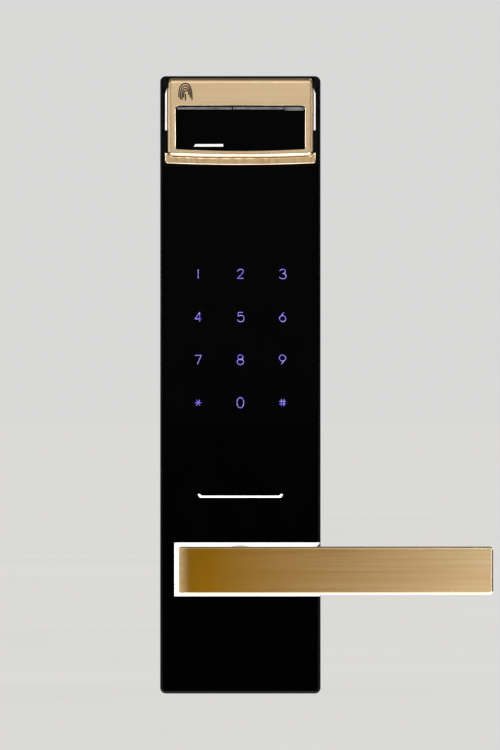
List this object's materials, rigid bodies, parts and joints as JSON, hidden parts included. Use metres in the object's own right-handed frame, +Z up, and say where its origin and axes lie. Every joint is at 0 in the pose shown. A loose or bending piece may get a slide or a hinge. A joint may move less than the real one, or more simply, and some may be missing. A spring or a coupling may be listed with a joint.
{
  "type": "electronic door lock outdoor unit",
  "caption": "Tall black touch-keypad door lock panel with a lever handle on a square spindle and a flip-up cover over a fingerprint reader.",
  "frame": {"origin": "on the spindle axis, in the plane of the door's outer face", "axes": "+X to the right and +Z up as the user faces the door; +Y into the door, along the spindle"},
  "size_m": [0.1654, 0.106, 0.308],
  "materials": {
    "black_polycarbonate": "gloss black paint",
    "black_plastic": "moulded",
    "touch_glass": "back-painted black",
    "smoked_window": "clear over black",
    "clear_plastic": "clear moulded",
    "white_plastic": "translucent",
    "champagne_gold": "brushed and anodised gold",
    "polished_chrome": "polished",
    "grey_print": "printed",
    "steel": "zinc plated",
    "spring_steel": "plain",
    "zinc_casting": "as cast",
    "nickel": "nickel plated",
    "circuit_board": "green solder resist",
    "copper_film": "amber flexible film",
    "rubber": "moulded",
    "tape": "black foam tape",
    "nylon": "natural nylon"
  },
  "bodies": {
    "panel": {"outer_housing": "black_polycarbonate", "glass_tape": "tape", "front_glass": "touch_glass", "status_light_bar": "white_plastic", "touch_film": "copper_film", "key_light_guide": "clear_plastic", "main_board": "circuit_board", "key_leds": "white_plastic", "board_chips": "black_plastic", "cable_sockets": "nylon", "speaker": "steel", "board_screws": "steel", "fingerprint_bay": "black_plastic", "bay_lip": "champagne_gold", "left_side_rail": "polished_chrome", "right_side_rail": "polished_chrome", "sensor_module": "black_plastic", "sensor_bezel": "polished_chrome", "sensor_glass": "touch_glass", "sensor_board": "circuit_board", "sensor_ribbon": "copper_film", "bay_screws": "steel", "cover_spring": "spring_steel", "cover_bumpers": "rubber", "lever_base_plate": "polished_chrome", "base_plate_screws": "steel", "hub_bushing": "nylon", "hub_washer": "nylon", "spring_cassette": "zinc_casting", "cassette_lid": "steel", "cassette_screws": "steel", "return_spring": "spring_steel", "rear_chassis": "steel", "door_gasket": "rubber", "chassis_screws": "steel", "upper_mounting_post": "steel", "lower_mounting_post": "steel", "cable_grommet": "rubber", "tamper_switch": "black_plastic", "tamper_spring": "spring_steel", "battery_contacts": "nickel", "contact_holder": "black_plastic"},
    "lever": {"lever_arm": "polished_chrome", "lever_face_plate": "champagne_gold", "lever_set_screw": "steel", "hub_retaining_ring": "spring_steel", "spindle": "steel", "drive_hub": "zinc_casting"},
    "cover": {"cover_frame": "champagne_gold", "cover_window": "smoked_window", "indicator_bars": "grey_print", "accent_bar": "polished_chrome", "cover_backing": "black_plastic", "cover_screws": "steel", "cover_magnet": "nickel", "cover_hinge_bar": "steel"},
    "tamper": {"tamper_plunger": "nylon"}
  },
  "joints": [
    {"name": "lever_turn", "type": "hinge", "parent": "panel", "child": "lever", "pos_m": [0, 0, 0], "axis": [0, 1, 0], "range_deg": [0, 50], "stiffness_Nm_per_rad": 0.7, "springref_deg": -57.3, "deforming": ["return_spring"]},
    {"name": "cover_flip", "type": "hinge", "parent": "panel", "child": "cover", "pos_m": [0, -0.0233, 0.2424], "axis": [-1, 0, 0], "range_deg": [0, 105], "stiffness_Nm_per_rad": 0.006, "springref_deg": -45.84, "deforming": ["cover_spring"]},
    {"name": "tamper_press", "type": "slide", "parent": "panel", "child": "tamper", "axis": [0, -1, 0], "range_m": [0, 0.0022], "stiffness_N_per_m": 150, "springref_m": -0.001, "deforming": ["tamper_spring"]}
  ]
}
